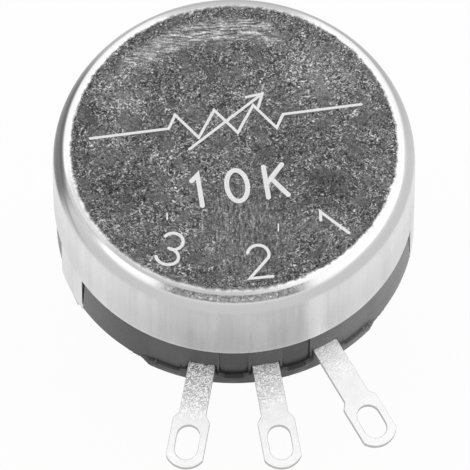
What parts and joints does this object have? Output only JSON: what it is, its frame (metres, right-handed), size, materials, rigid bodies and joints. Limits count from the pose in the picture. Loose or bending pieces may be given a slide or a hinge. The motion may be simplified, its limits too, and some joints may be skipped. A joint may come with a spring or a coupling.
{
  "type": "rotary potentiometer",
  "caption": "Round panel potentiometer with a drawn metal can, moulded base, riveted solder tags, threaded bushing, locating lug and a slotted round shaft that turns between stops.",
  "frame": {"origin": "on the shaft axis, in the plane of the mounting face that rests against a panel", "axes": "+Z along the shaft axis, away from the panel, towards the can's closed back; the shaft points to -Z and the middle terminal to -Y"},
  "size_m": [0.028, 0.0362, 0.0275],
  "materials": {
    "can": "tinned sheet steel, mottled on the back and brushed on the wall",
    "plate": "bright zinc-plated sheet",
    "base_moulding": "matt moulded phenolic",
    "nickel": "nickel-plated brass with a machined thread",
    "tinned_brass": "tinned brass, slightly crinkled",
    "plain_brass": "plain brass",
    "board": "laminated phenolic board",
    "carbon": "matt black resistive film",
    "silvered": "silvered film",
    "shaft_metal": "nickel-plated, turned",
    "spring_steel": "blued spring steel",
    "washer_plastic": "smooth plastic",
    "rotor_moulding": "matt moulded phenolic",
    "spring_bronze": "phosphor bronze spring"
  },
  "bodies": {
    "housing": {"can": "can", "front_plate": "plate", "base": "base_moulding", "terminal_block": "base_moulding", "bushing": "nickel", "terminal_1": "tinned_brass", "terminal_2": "tinned_brass", "terminal_3": "tinned_brass", "rivet_1": "plain_brass", "rivet_2": "plain_brass", "rivet_3": "plain_brass", "element_board": "board", "carbon_track": "carbon", "end_pad_1": "silvered", "end_pad_3": "silvered", "collector_ring": "silvered", "thrust_washer": "washer_plastic"},
    "rotor": {"shaft": "shaft_metal", "retaining_ring": "spring_steel", "stop_arm": "plate", "rotor_disc": "rotor_moulding", "outer_brush": "carbon", "inner_brush": "carbon", "contact_spring": "spring_bronze", "spring_rivets": "plain_brass", "push_on_washer": "spring_steel"}
  },
  "joints": [
    {"name": "shaft_turn", "type": "hinge", "parent": "housing", "child": "rotor", "pos_m": [0, 0, 0], "axis": [0, 0, 1], "range_deg": [-150, 150]}
  ]
}
